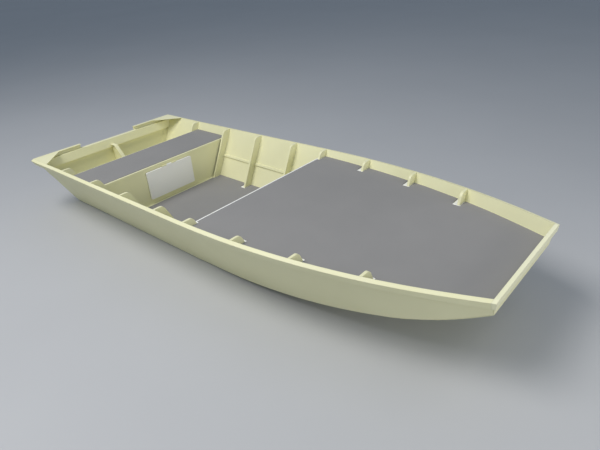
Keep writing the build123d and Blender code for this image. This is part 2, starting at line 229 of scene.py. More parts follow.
class Probe:
    """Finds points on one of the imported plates, so that a new piece lies on it."""

    def __init__(self, node: str) -> None:
        """Reads the plate's mesh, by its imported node's name."""
        self.node = node
        self.mesh = frame["nodes"][node].data
        corners = [vertex.co.copy() for vertex in self.mesh.vertices]
        self.tree = BVHTree.FromPolygons(corners, [face.vertices[:] for face in self.mesh.polygons])

    def hit(self, start: Place, direction: Place) -> Vector:
        """Finds where a straight line first meets the plate.

        Args:
            start: where the line starts.
            direction: where it goes.

        Returns:
            The point on the plate.
        """
        point = self.tree.ray_cast(Vector(start), Vector(direction))[0]
        if point is None:
            raise ValueError(f"no part of {self.node} lies along {direction} from {start}")
        return point

    def outboard(self, side: Side, x: float, z: float) -> Vector:
        """Finds the plate's point straight out from the boat's middle line."""
        return self.hit((x, 0.0, z), (0.0, side.value, 0.0))

    def cut(self, axis: int, level: float) -> list[Vector]:
        """Finds the points where the plate's edges cross a level plane.

        Args:
            axis: 0, 1 or 2 for a plane across X, Y or Z.
            level: where the plane stands on that axis.

        Returns:
            The crossing points.
        """
        points = []
        for edge in self.mesh.edges:
            first, second = (self.mesh.vertices[i].co for i in edge.vertices)
            if (first[axis] < level) != (second[axis] < level):
                share = (level - first[axis]) / (second[axis] - first[axis])
                points.append(first.lerp(second, share))
        return points


def steps(start: float, end: float, count: int) -> list[float]:
    """Divides a stretch evenly into a number of values, both ends included."""
    return [start + (end - start) * k / (count - 1) for k in range(count)]


# Shader building


@dataclass(frozen=True)
class Pattern:
    """How a noise looks: its finer layers, their strength, and the two levels that it is cut at."""

    detail: float
    roughness: float = 0.55
    low: float = 0.3
    high: float = 0.7


class NodeSheet:
    """A shader tree that is being filled in."""

    def __init__(self, tree: NodeTree) -> None:
        """Keeps the tree."""
        self.tree = tree

    def add(self, kind: str, **inputs: Feed) -> Node:
        """Adds a node and fills its inputs.

        Args:
            kind: the node's type name.
            inputs: what feeds the inputs, by their names with _ for a space.

        Returns:
            The node.
        """
        node = self.tree.nodes.new(kind)
        self.fill(node, **inputs)
        return node

    def fill(self, node: Node, **inputs: Feed) -> None:
        """Feeds a node's inputs, by their names with _ for a space."""
        for name, value in inputs.items():
            self.feed(node.inputs[name.replace("_", " ")], value)

    def feed(self, socket: NodeSocket, value: Feed) -> None:
        """Links an output to an input, or sets the input's value.

        Args:
            socket: the input.
            value: an output socket, a number or a colour.
        """
        if isinstance(value, NodeSocket):
            self.tree.links.new(value, socket)
        elif socket.type == "RGBA":
            socket.default_value = (*value, 1.0)
        else:
            socket.default_value = value

    def math(self, operation: str, first: Feed, second: Feed) -> NodeSocket:
        """Adds a Math node. A product is held between 0 and 1.

        Args:
            operation: the sum it does.
            first: its first input.
            second: its second input.

        Returns:
            Its output.
        """
        node = self.tree.nodes.new("ShaderNodeMath")
        node.operation = operation
        node.use_clamp = operation == "MULTIPLY"
        self.feed(node.inputs[0], first)
        self.feed(node.inputs[1], second)
        return node.outputs[0]

    def span(
        self, value: Feed, low: float, high: float, start: float = 0.0, end: float = 1.0
    ) -> NodeSocket:
        """Adds a Map Range node, held to its ends, that takes low to start and high to end."""
        ends = {"From_Min": low, "From_Max": high, "To_Min": start, "To_Max": end}
        return self.add("ShaderNodeMapRange", Value=value, **ends).outputs[0]

    def blend(self, share: Feed, first: Feed, second: Feed) -> NodeSocket:
        """Mixes two colours.

        Args:
            share: how much of the second there is.
            first: the first colour.
            second: the second colour.

        Returns:
            The mixed colour.
        """
        node = self.tree.nodes.new("ShaderNodeMix")
        node.data_type = "RGBA"
        first_colour, second_colour, mixed_colour = node.inputs[6], node.inputs[7], node.outputs[2]
        self.feed(node.inputs["Factor"], share)
        self.feed(first_colour, first)
        self.feed(second_colour, second)
        return mixed_colour

    def place(self) -> NodeSocket:
        """The place on the object, in metres."""
        return self.add("ShaderNodeTexCoord").outputs["Object"]

    def noise(self, scale: Feed, pattern: Pattern) -> NodeSocket:
        """Adds a Noise texture on Object coordinates, with its scale in turns a metre."""
        looks = {"Scale": scale, "Detail": pattern.detail, "Roughness": pattern.roughness}
        return self.add("ShaderNodeTexNoise", Vector=self.place(), **looks).outputs[0]

    def patches(
        self, scale: Feed, pattern: Pattern, start: float = 0.0, end: float = 1.0
    ) -> NodeSocket:
        """Spreads a noise, between the levels that it is cut at, over a range of values."""
        return self.span(self.noise(scale, pattern), pattern.low, pattern.high, start, end)

    def cells(self, scale: Feed) -> NodeSocket:
        """Measures from the middles of cells on Object coordinates, so many cells a metre."""
        node = self.add("ShaderNodeTexVoronoi", Vector=self.place(), Scale=scale)
        return node.outputs["Distance"]


class Effect(Enum):
    """The effects that several finishes share, each a shader node group."""

    TONE = "tone_drift"
    DUST = "settled_dust"
    EDGES = "soft_edges"
    GRAIN = "fine_grain"
    FLECKS = "covering_flecks"


@dataclass(frozen=True)
class EffectShop:
    """Builds each shared effect once and hands it out."""

    drift: Pattern = Pattern(detail=3.0, low=0.36, high=0.64)
    dust_slope: float = 0.4
    dust_patches: Pattern = Pattern(detail=5.0, roughness=0.62, low=0.4, high=0.75)
    bevel_samples: int = 4
    edge_turns: tuple[float, float] = (0.98, 0.8)
    chip_scale: float = 38.0
    chips: Pattern = Pattern(detail=6.0, roughness=0.65, low=0.52, high=0.62)
    fine_noise: Pattern = Pattern(detail=3.0, roughness=0.5)
    pebble_levels: tuple[float, float] = (0.1, 0.7)
    fleck_fineness: float = 140.0
    fleck_patches: Pattern = Pattern(detail=2.0, low=0.6, high=0.72)
    built: dict[Effect, NodeTree] = field(default_factory=dict)

    def get(self, effect: Effect) -> NodeTree:
        """Gives the node group of an effect.

        Args:
            effect: which effect.

        Returns:
            The node group, built the first time it is asked for.
        """
        if effect not in self.built:
            makers = (self.tone, self.dust, self.edges, self.grain, self.flecks)
            dict(zip(Effect, makers))[effect]()
        return self.built[effect]

    def open(
        self, effect: Effect, inputs: dict[str, str], outputs: dict[str, str]
    ) -> tuple[NodeSheet, dict[str, NodeSocket], Node]:
        """Starts a node group with its sockets, and files it among the built ones.

        Args:
            effect: which effect it is.
            inputs: each input's name and the kind of its socket.
            outputs: each output's name and the kind of its socket.

        Returns:
            The sheet, the inputs to read from, and the node that takes the outputs.
        """
        tree = bpy.data.node_groups.new(effect.value, "ShaderNodeTree")
        self.built[effect] = tree
        for way, sockets in (("INPUT", inputs), ("OUTPUT", outputs)):
            for socket, kind in sockets.items():
                tree.interface.new_socket(name=socket, in_out=way, socket_type=f"NodeSocket{kind}")
        sheet = NodeSheet(tree)
        source = sheet.add("NodeGroupInput")
        return sheet, {name: source.outputs[name] for name in inputs}, sheet.add("NodeGroupOutput")

    def tone(self) -> None:
        """Makes a colour drift a little lighter and darker over the surface."""
        sheet, given, out = self.open(
            Effect.TONE, {"Light": "Color", "Dark": "Color", "Scale": "Float"}, {"Colour": "Color"}
        )
        share = sheet.patches(given["Scale"], self.drift)
        sheet.fill(out, Colour=sheet.blend(share, given["Dark"], given["Light"]))

    def dust(self) -> None:
        """Makes the mask of the dust that lies on faces turned upwards."""
        sheet, given, out = self.open(
            Effect.DUST, {"Amount": "Float", "Scale": "Float"}, {"Mask": "Float"}
        )
        normal = sheet.add("ShaderNodeNewGeometry").outputs["Normal"]
        height = sheet.add("ShaderNodeSeparateXYZ", Vector=normal).outputs["Z"]
        upward = sheet.span(height, self.dust_slope, 1.0)
        lying = sheet.math("MULTIPLY", upward, sheet.patches(given["Scale"], self.dust_patches))
        sheet.fill(out, Mask=sheet.math("MULTIPLY", lying, given["Amount"]))

    def edges(self) -> None:
        """Rounds the sheet's edges in the shading and masks where they rub."""
        sheet, given, out = self.open(
            Effect.EDGES,
            {"Radius": "Float", "Wear": "Float"},
            {"Normal": "Vector", "Mask": "Float"},
        )
        bevel = sheet.add("ShaderNodeBevel", Radius=given["Radius"])
        bevel.samples = self.bevel_samples
        flat = sheet.add("ShaderNodeNewGeometry").outputs["Normal"]
        turn = sheet.tree.nodes.new("ShaderNodeVectorMath")
        turn.operation = "DOT_PRODUCT"
        sheet.feed(turn.inputs[0], bevel.outputs["Normal"])
        sheet.feed(turn.inputs[1], flat)
        edge = sheet.span(turn.outputs["Value"], *self.edge_turns)
        rubbed = sheet.math("MULTIPLY", edge, sheet.patches(self.chip_scale, self.chips))
        mask = sheet.math("MULTIPLY", rubbed, given["Wear"])
        sheet.fill(out, Normal=bevel.outputs["Normal"], Mask=mask)

    def grain(self) -> None:
        """Makes the fine height pattern of a sprayed or moulded surface."""
        sheet, given, out = self.open(Effect.GRAIN, {"Scale": "Float"}, {"Height": "Float"})
        sheet.fill(out, Height=sheet.noise(given["Scale"], self.fine_noise))

    def flecks(self) -> None:
        """Makes the non-slip covering's pebbled height and its pale flecks."""
        sheet, given, out = self.open(
            Effect.FLECKS,
            {"Scale": "Float", "Amount": "Float"},
            {"Height": "Float", "Mask": "Float"},
        )
        crowns = sheet.span(sheet.cells(given["Scale"]), *self.pebble_levels, 1.0, 0.0)
        fineness = sheet.math("ADD", given["Scale"], self.fleck_fineness)
        flecks = sheet.patches(fineness, self.fleck_patches)
        sheet.fill(out, Height=crowns, Mask=sheet.math("MULTIPLY", flecks, given["Amount"]))


effects = EffectShop()


@dataclass(frozen=True)
class Gloss:
    """A roughness that drifts up from its smoothest over the surface."""

    rough: float
    drift: float
    scale: float
    detail: float = 4.0


@dataclass(frozen=True)
class Grain:
    """A fine height pattern: its turns a metre and its depth in metres."""

    scale: float
    depth: float


class Surface:
    """A material that is being mixed: its sheet and its shader."""

    def __init__(self, name: str) -> None:
        """Starts a material of that name with one Principled shader."""
        self.material = bpy.data.materials.new(name)
        self.material.use_nodes = True
        self.sheet = NodeSheet(self.material.node_tree)
        self.shader = self.material.node_tree.nodes["Principled BSDF"]

    def effect(self, effect: Effect, **inputs: Feed) -> Node:
        """Places a shared effect in the material.

        Args:
            effect: which effect.
            inputs: what feeds its inputs, by name.

        Returns:
            The group node.
        """
        node = self.sheet.tree.nodes.new("ShaderNodeGroup")
        node.node_tree = effects.get(effect)
        self.sheet.fill(node, **inputs)
        return node

    def put(self, **inputs: Feed) -> None:
        """Sets or links the shader's own inputs, by name with _ for a space."""
        self.sheet.fill(self.shader, **inputs)

    def gloss(self, gloss: Gloss) -> NodeSocket:
        """Makes the drifting roughness."""
        dullest = gloss.rough + gloss.drift
        return self.sheet.patches(gloss.scale, Pattern(gloss.detail), gloss.rough, dullest)

    def dusted(
        self, colour: Feed, dust: Colour, amount: float, scale: float
    ) -> tuple[NodeSocket, NodeSocket]:
        """Lays dust on what is turned upwards, and gives the dusty colour and the dust's mask."""
        mask = self.effect(Effect.DUST, Amount=amount, Scale=scale).outputs["Mask"]
        return self.sheet.blend(mask, colour, dust), mask

    def relief(self, height: Feed, depth: float, base: Feed) -> None:
        """Turns a height pattern, with its depth in metres, into the shader's normal on a base."""
        bump = self.sheet.add(
            "ShaderNodeBump", Height=height, Distance=depth, Normal=base, Strength=1.0
        )
        self.put(Normal=bump.outputs["Normal"])

    def grain(self, grain: Grain, base: Feed) -> None:
        """Gives the surface a fine grain, on the normal that it stands on."""
        fine = self.effect(Effect.GRAIN, Scale=grain.scale)
        self.relief(fine.outputs["Height"], grain.depth, base)


# Finishes


@dataclass(frozen=True)
class Coat:
    """What every finish has: two tones that drift into each other, and softened edges that rub."""

    name: str
    light: Colour
    dark: Colour
    tone_scale: float
    edge_radius: float
    wear: float

    def start(self) -> tuple[Surface, Feed, Feed, Feed]:
        """Starts the material with its tones and its edges.

        Returns:
            The surface, its colour so far, the mask of its rubbed edges and its softened normal.
        """
        surface = Surface(self.name)
        tone = surface.effect(Effect.TONE, Light=self.light, Dark=self.dark, Scale=self.tone_scale)
        edges = surface.effect(Effect.EDGES, Radius=self.edge_radius, Wear=self.wear)
        return surface, tone.outputs["Colour"], edges.outputs["Mask"], edges.outputs["Normal"]


@dataclass(frozen=True)
class HullPaint(Coat):
    """Satin cream paint sprayed on aluminium plate."""

    name: str = "cream_hull_paint"
    light: Colour = (0.83, 0.805, 0.51)
    dark: Colour = (0.79, 0.765, 0.475)
    tone_scale: float = 1.4
    edge_radius: float = 0.0016
    wear: float = 0.35
    dust_colour: Colour = (0.76, 0.74, 0.62)
    dust_amount: float = 0.25
    dust_scale: float = 6.0
    dust_dulls: float = 0.5
    metal: Colour = (0.62, 0.62, 0.60)
    metal_shows: float = 0.9
    gloss: Gloss = Gloss(rough=0.42, drift=0.12, scale=9.0)
    peel: Grain = Grain(scale=420.0, depth=0.00006)

    def build(self) -> Material:
        """Mixes the paint.

        Returns:
            The material.
        """
        surface, colour, rubbed, normal = self.start()
        sheet = surface.sheet
        dusty, dust = surface.dusted(colour, self.dust_colour, self.dust_amount, self.dust_scale)
        dulled = sheet.math("MULTIPLY", dust, self.dust_dulls)
        surface.put(
            Base_Color=sheet.blend(rubbed, dusty, self.metal),
            Roughness=sheet.math("ADD", surface.gloss(self.gloss), dulled),
            Metallic=sheet.math("MULTIPLY", rubbed, self.metal_shows),
        )
        surface.grain(self.peel, normal)
        return surface.material


@dataclass(frozen=True)
class DeckCovering(Coat):
    """Grey pebbled non-slip covering bonded to the decks."""

    name: str = "grey_nonslip_covering"
    light: Colour = (0.262, 0.255, 0.249)
    dark: Colour = (0.248, 0.242, 0.236)
    tone_scale: float = 1.1
    edge_radius: float = 0.0012
    wear: float = 0.0
    fleck: Colour = (0.40, 0.39, 0.385)
    fleck_amount: float = 0.35
    dust_colour: Colour = (0.34, 0.33, 0.315)
    dust_amount: float = 0.12
    dust_scale: float = 3.5
    thick_dust: float = 0.3
    rough: float = 0.82
    dusty_rough: float = 0.95
    pebbles: Grain = Grain(scale=260.0, depth=0.0004)

    def build(self) -> Material:
        """Mixes the covering.

        Returns:
            The material.
        """
        surface, colour, _, normal = self.start()
        flecks = surface.effect(Effect.FLECKS, Scale=self.pebbles.scale, Amount=self.fleck_amount)
        flecked = surface.sheet.blend(flecks.outputs["Mask"], colour, self.fleck)
        dusty, dust = surface.dusted(flecked, self.dust_colour, self.dust_amount, self.dust_scale)
        rough = surface.sheet.span(dust, 0.0, self.thick_dust, self.rough, self.dusty_rough)
        surface.put(Base_Color=dusty, Roughness=rough)
        surface.relief(flecks.outputs["Height"], self.pebbles.depth, normal)
        return surface.material


@dataclass(frozen=True)
class Solid(Coat):
    """Bare stuff with a fine grain, such as moulded plastic or drawn brass."""

    scuffed: Colour
    gloss: Gloss
    fine: Grain
    metallic: float = 0.0

    def build(self) -> Material:
        """Mixes the stuff.

        Returns:
            The material.
        """
        surface, colour, rubbed, normal = self.start()
        surface.put(
            Base_Color=surface.sheet.blend(rubbed, colour, self.scuffed),
            Roughness=surface.gloss(self.gloss),
            Metallic=self.metallic,
        )
        surface.grain(self.fine, normal)
        return surface.material


@dataclass(frozen=True)
class SealRubber(Coat):
    """Matt dark rubber of the hatch's seal."""

    name: str = "seal_rubber"
    light: Colour = (0.05, 0.05, 0.052)
    dark: Colour = (0.032, 0.032, 0.034)
    tone_scale: float = 14.0
    edge_radius: float = 0.0008
    wear: float = 0.0
    dust_colour: Colour = (0.2, 0.19, 0.18)
    dust_amount: float = 0.3
    dust_scale: float = 20.0
    gloss: Gloss = Gloss(rough=0.68, drift=0.17, scale=80.0, detail=3.0)
    skin: Grain = Grain(scale=1200.0, depth=0.00005)

    def build(self) -> Material:
        """Mixes the rubber.

        Returns:
            The material.
        """
        surface, colour, _, normal = self.start()
        dusty, _ = surface.dusted(colour, self.dust_colour, self.dust_amount, self.dust_scale)
        surface.put(Base_Color=dusty, Roughness=surface.gloss(self.gloss))
        surface.grain(self.skin, normal)
        return surface.material


class Finish(Enum):
    """Every finish on the boat."""

    HULL = HullPaint()
    ROLLED = HullPaint(name="cream_rolled_edge_paint", edge_radius=0.0055)
    # Painted highlight: the bow cap takes a paler copy of the hull paint, standing in for the light
    # that its rounded top catches
    CAP = HullPaint(
        name="cream_bow_cap_painted_highlight",
        light=(0.875, 0.855, 0.59),
        dark=(0.845, 0.825, 0.56),
        edge_radius=0.0055,
    )
    TRIM = HullPaint(
        name="pale_edge_trim_paint", light=(0.96, 0.955, 0.91), dark=(0.93, 0.925, 0.88)
    )
    BOTTOM = HullPaint(
        name="cream_bottom_paint",
        dust_amount=0.0,
        wear=0.9,
        gloss=Gloss(rough=0.5, drift=0.16, scale=9.0),
    )
    COVERING = DeckCovering()
    HATCH = Solid(
        name="off_white_plastic",
        light=(0.96, 0.945, 0.905),
        dark=(0.935, 0.92, 0.875),
        tone_scale=2.2,
        edge_radius=0.002,
        wear=0.15,
        scuffed=(0.95, 0.94, 0.91),
        gloss=Gloss(rough=0.5, drift=0.12, scale=24.0),
        fine=Grain(scale=900.0, depth=0.00008),
    )
    HINGE = HullPaint(name="painted_hinge_steel", dust_amount=0.1, edge_radius=0.0008)
    DRAIN = Solid(
        name="drain_brass",
        light=(0.78, 0.60, 0.30),
        dark=(0.60, 0.43, 0.19),
        tone_scale=18.0,
        edge_radius=0.0006,
        wear=0.4,
        scuffed=(0.78, 0.60, 0.30),
        gloss=Gloss(rough=0.32, drift=0.18, scale=60.0, detail=5.0),
        fine=Grain(scale=700.0, depth=0.00004),
        metallic=1.0,
    )
    RUBBER = SealRubber()


# The finish of each slot, and of the nodes that have their own
BY_SLOT: dict[str, Finish] = {
    "hull_paint": Finish.HULL,
    "deck_covering": Finish.COVERING,
    "hatch_plastic": Finish.HATCH,
    "hinge_metal": Finish.HINGE,
    "drain_brass": Finish.DRAIN,
}
BY_NODE: dict[str, Finish] = {
    "bottom_plate": Finish.BOTTOM,
    "bottom_strakes": Finish.BOTTOM,
    "gunwale_port": Finish.ROLLED,
    "gunwale_starboard": Finish.ROLLED,
    # The bow cap's paler paint is a painted highlight, not a different paint
    "bow_cap": Finish.CAP,
    "deck_edge": Finish.TRIM,
    "fore_deck": Finish.TRIM,
    "cockpit_sole": Finish.TRIM,
}


@dataclass
class PaintShop:
    """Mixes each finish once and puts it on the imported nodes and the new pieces."""

    mixed: dict[Finish, Material] = field(default_factory=dict)

    def material(self, finish: Finish) -> Material:
        """Gives a finish's material.

        Args:
            finish: which finish.

        Returns:
            The material, mixed the first time it is asked for.
        """
        if finish not in self.mixed:
            self.mixed[finish] = finish.value.build()
        return self.mixed[finish]

    def coat(self, piece: Object, finish: Finish) -> None:
        """Puts a finish on a new piece, in place of any other."""
        piece.data.materials.clear()
        piece.data.materials.append(self.material(finish))

    def coat_nodes(self) -> None:
        """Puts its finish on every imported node, by the node's name or else by its slot."""
        for name, node in frame["nodes"].items():
            for slot in node.material_slots:
                finish = BY_SLOT[slot.material.name.split(".")[0]]
                slot.material = self.material(BY_NODE.get(name, finish))
        log.info("finished %d packed nodes", len(frame["nodes"]))


# Welds


@dataclass(frozen=True)
class WeldBead:
    """A run of weld: a rounded bead with the ripples that the torch leaves."""

    radius: float = 0.003
    ripple: float = 0.007
    waist: float = 0.82
    crest: float = 0.35
    sides: int = 6

    def ripple_ring(self) -> Object:
        """Models one ripple along X, open at both ends.

        Returns:
            The ripple's object.
        """
        bpy.ops.mesh.primitive_circle_add(
            vertices=self.sides,
            radius=self.radius * self.waist,
            fill_type="NOTHING",
            rotation=(0.0, math.pi / 2, 0.0),
        )
        ring = placed()
        rise, fall = self.crest * self.ripple, (1 - self.crest) * self.ripple
        with Editing(ring, "EDGE") as edit:
            edit.everything()
            for run, end, size in ((rise, rise, 1 / self.waist), (fall, self.ripple, self.waist)):
                bpy.ops.mesh.extrude_region_move(TRANSFORM_OT_translate={"value": (run, 0.0, 0.0)})
                bpy.ops.transform.resize(value=(1.0, size, size), center_override=(end, 0, 0))
        return ring

    def lay(self, name: str, path: list[Vector]) -> Object:
        """Lays the bead along a path.

        Args:
            name: the bead's name.
            path: the points that it follows.

        Returns:
            The bead's object.
        """
        curve = bpy.data.curves.new(name + "_path", "CURVE")
        curve.dimensions = "3D"
        spline = curve.splines.new("POLY")
        spline.points.add(len(path) - 1)
        for point, place in zip(spline.points, path):
            point.co = (*place, 1.0)
        guide = bpy.data.objects.new(name + "_path", curve)
        bpy.context.scene.collection.objects.link(guide)
        length = sum((after - before).length for before, after in zip(path, path[1:]))
        bead = self.ripple_ring()
        row = bead.modifiers.new("row", "ARRAY")
        row.use_relative_offset = False
        row.use_constant_offset = True
        row.constant_offset_displace = (self.ripple, 0.0, 0.0)
        row.count = max(2, round(length / self.ripple))
        row.use_merge_vertices = True
        row.merge_threshold = TINY
        bend = bead.modifiers.new("bend", "CURVE")
        bend.object = guide
        bend.deform_axis = "POS_X"
        take(bead)
        for modifier in ("row", "bend"):
            bpy.ops.object.modifier_apply(modifier=modifier)
        bpy.data.objects.remove(guide, do_unlink=True)
        with Editing(bead, "EDGE") as edit:
            edit.everything()
            bpy.ops.mesh.fill_holes(sides=0)
        take(bead)
        bpy.ops.object.shade_smooth()
        return settle(bead, name)

    def stitch(
        self, name: str, runs: list[tuple[Vector, Vector]], length: float, gap: float
    ) -> Object:
        """Lays short beads with gaps between them along straight runs.

        Args:
            name: the joined beads' name.
            runs: the start and end of each run.
            length: how long one stitch is.
            gap: the bare stretch between stitches.

        Returns:
            One object with all the stitches.
        """
        places = []
        for start, end in runs:
            span = (end - start).length
            along = (end - start).normalized()
            count = max(1, int((span + gap) / (length + gap)))
            first = (span - count * length - (count - 1) * gap) / 2
            turn = along.to_track_quat("X", "Z").to_matrix().to_4x4()
            for k in range(count):
                foot = start + along * (first + k * (length + gap))
                places.append(Matrix.Translation(foot) @ turn)
        pattern = self.lay(name + "_pattern", [Vector((0, 0, 0)), Vector((length, 0, 0))])
        return joined(repeated(pattern, places), name)


@dataclass
class Dressing:
    """What every sub-assembly of new pieces has: the paint shop and the list of what it made."""

    shop: PaintShop
    body: str = "hull"
    made: list[Object] = field(default_factory=list)

    def keep(self, piece: Object, finish: Finish = Finish.HULL, slot: str = "hull_paint") -> None:
        """Coats a new piece and lets it ride on its body.

        Args:
            piece: the piece.
            finish: its finish.
            slot: not used.
        """
        self.shop.coat(piece, finish)
        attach(piece, self.body)
        self.made.append(piece)
        log.info("%s: %d faces on %s", piece.name, len(piece.data.polygons), self.body)


@dataclass
class ShellWelds(Dressing):
    """The beads that close the hull: chines, transom and bow corners, and the transom's foot."""

    bead: WeldBead = WeldBead(radius=0.0032, ripple=0.008)
    stern_x: float = -2.285
    bow_x: float = 2.40
    chine_points: int = 48
    end_gap: float = 0.018
    end_points: int = 12
    foot_half: float = 0.57
    foot_points: int = 3
    foot_ahead: float = 0.002

    def build(self) -> None:
        """Lays the beads along both chines, up every corner and along the transom's foot."""
        for side in Side:
            probe = Probe(f"side_{side.word}")
            places = steps(self.stern_x, self.bow_x, self.chine_points)
            chine = [min(probe.cut(0, x), key=lambda point: point.z) for x in places]
            self.keep(self.bead.lay(f"chine_weld_{side.word}", chine))
            for end, outermost in (("transom", min), ("bow", max)):
                low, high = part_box(f"{end}_plate")
                levels = steps(low.z + self.end_gap, high.z - self.end_gap, self.end_points)
                corner = [outermost(probe.cut(2, z), key=lambda point: point.x) for z in levels]
                self.keep(self.bead.lay(f"{end}_weld_{side.word}", corner))
        self.keep(self.transom_foot())

    def transom_foot(self) -> Object:
        """Lays the bead where the transom meets the bottom, on the outside.

        Returns:
            The bead.
        """
        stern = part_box("bottom_plate")[0].x
        cut = Probe("bottom_plate").cut(0, stern + self.foot_ahead)
        level = min(point.z for point in cut)
        places = steps(-self.foot_half, self.foot_half, self.foot_points)
        return self.bead.lay("transom_foot_weld", [Vector((stern, y, level)) for y in places])


@dataclass
class FrameWelds(Dressing):
    """The stitches that hold the frames to the sides, and the strakes to the bottom."""

    bead: WeldBead = WeldBead(radius=0.0026, ripple=0.006)
    stitch_length: float = 0.042
    stitch_gap: float = 0.055
    cap_gap: float = 0.03
    floor_gap: float = 0.02
    floors: tuple[str, ...] = ("bottom_plate", *["sole_cover"] * 3, *["deck_cover"] * 4)
    strake_stitch: float = 0.05
    strake_gap: float = 0.25
    strake_end: float = 0.06
    strake_pieces: int = 14
    below: float = -0.5

    def build(self) -> None:
        """Lays the stitches of both sides and of the strakes."""
        for side in Side:
            self.keep(self.side_stitches(side))
        self.keep(self.strake_stitches(), Finish.BOTTOM)

    def side_stitches(self, side: Side) -> Object:
        """Lays the stitches between the frames' webs and the plate of one side.

        Returns:
            The stitches, joined.
        """
        probe = Probe(f"side_{side.word}")
        runs = []
        for number, floor in enumerate(self.floors, start=1):
            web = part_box(f"frame_{number}")[1]
            low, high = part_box(floor)
            foot = self.floor_gap + (low.z if floor == "bottom_plate" else high.z)
            head = web.z - self.cap_gap
            ends = [probe.outboard(side, web.x + CLEAR, z) for z in (foot, head)]
            if (ends[1] - ends[0]).length > self.stitch_length:
                runs.append((ends[0], ends[1]))
        name = f"frame_welds_{side.word}"
        return self.bead.stitch(name, runs, self.stitch_length, self.stitch_gap)

    def strake_stitches(self) -> Object:
        """Lays the stitches along both edges of every bottom strake.

        Returns:
            The stitches, joined.
        """
        bottom = Probe("bottom_plate")
        low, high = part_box("bottom_strakes")
        places = steps(low.x + self.strake_end, high.x - self.strake_end, self.strake_pieces)
        amidships = Probe("bottom_strakes").cut(0, 0.5 * (low.x + high.x))
        reach = self.strake_stitch / 2
        runs = []
        for y in sorted({round(point.y, 3) for point in amidships}):
            for x in places:
                ends = [bottom.hit((x + shift, y, self.below), UP) for shift in (-reach, reach)]
                runs.append((ends[0], ends[1]))
        return self.bead.stitch("strake_welds", runs, self.strake_stitch, self.strake_gap)


@dataclass
class InnerWelds(Dressing):
    """The beads inside the boat: bench, deck and splash well."""

    bead: WeldBead = WeldBead(radius=0.003, ripple=0.007)
    bench_foot: float = 0.097
    bench_head: float = 0.482
    bench_points: int = 8
    bench_half: float = 0.62
    deck_start: float = 0.17
    deck_end: float = 2.395
    deck_points: int = 30
    well_ahead: float = -2.0
    well_across: float = 0.4
    well_floor: float = 0.013
    well_gap: float = 0.01
    well_top: float = 0.42
    well_points: int = 10
    foot_reach: tuple[float, float] = (0.03, 0.57)
    foot_points: int = 4
    knee_reach: tuple[float, float] = (-2.27, -1.86)
    knee_points: int = 3
    knee_half: float = 0.004
    knee_above: float = 0.3

    def build(self) -> None:
        """Lays every bead inside."""
        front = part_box("bench_front")[1].x
        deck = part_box("fore_deck")[1].z
        for side in Side:
            probe = Probe(f"side_{side.word}")
            levels = steps(self.bench_foot, self.bench_head, self.bench_points)
            upright = [probe.outboard(side, front + CLEAR, z) for z in levels]
            self.keep(self.bead.lay(f"bench_weld_{side.word}", upright))
            places = steps(self.deck_start, self.deck_end, self.deck_points)
            seam = [probe.outboard(side, x, deck + CLEAR) for x in places]
            self.keep(self.bead.lay(f"deck_weld_{side.word}", seam))
        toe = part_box("bench_toe")[1].z
        foot = [Vector((front, y, toe)) for y in (-self.bench_half, self.bench_half)]
        self.keep(self.bead.lay("bench_foot_weld", foot))
        self.keep(self.splash_well())

    def splash_well(self) -> Object:
        """Lays the beads of the splash well: transom to sides and bottom, and knee to bottom.

        Returns:
            The beads, joined.
        """
        transom, bottom = Probe("transom_plate"), Probe("bottom_plate")
        beads = []
        for side in Side:
            plate = Probe(f"side_{side.word}")
            upright = []
            for z in steps(self.well_floor + self.well_gap, self.well_top, self.well_points):
                face = transom.hit((self.well_ahead, self.well_across * side.value, z), ASTERN)
                upright.append(plate.outboard(side, face.x + CLEAR, z))
            beads.append(self.bead.lay(f"well_side_{side.word}", upright))
            foot = [
                transom.hit((self.well_ahead, y * side.value, self.well_floor), ASTERN)
                for y in steps(*self.foot_reach, self.foot_points)
            ]
            beads.append(self.bead.lay(f"well_foot_{side.word}", foot))
        for side in Side:
            knee = [
                bottom.hit((x, self.knee_half * side.value, self.knee_above), DOWN)
                for x in steps(*self.knee_reach, self.knee_points)
            ]
            beads.append(self.bead.lay(f"well_knee_{side.word}", knee))
        return joined(beads, "splash_well_welds")


# Fittings


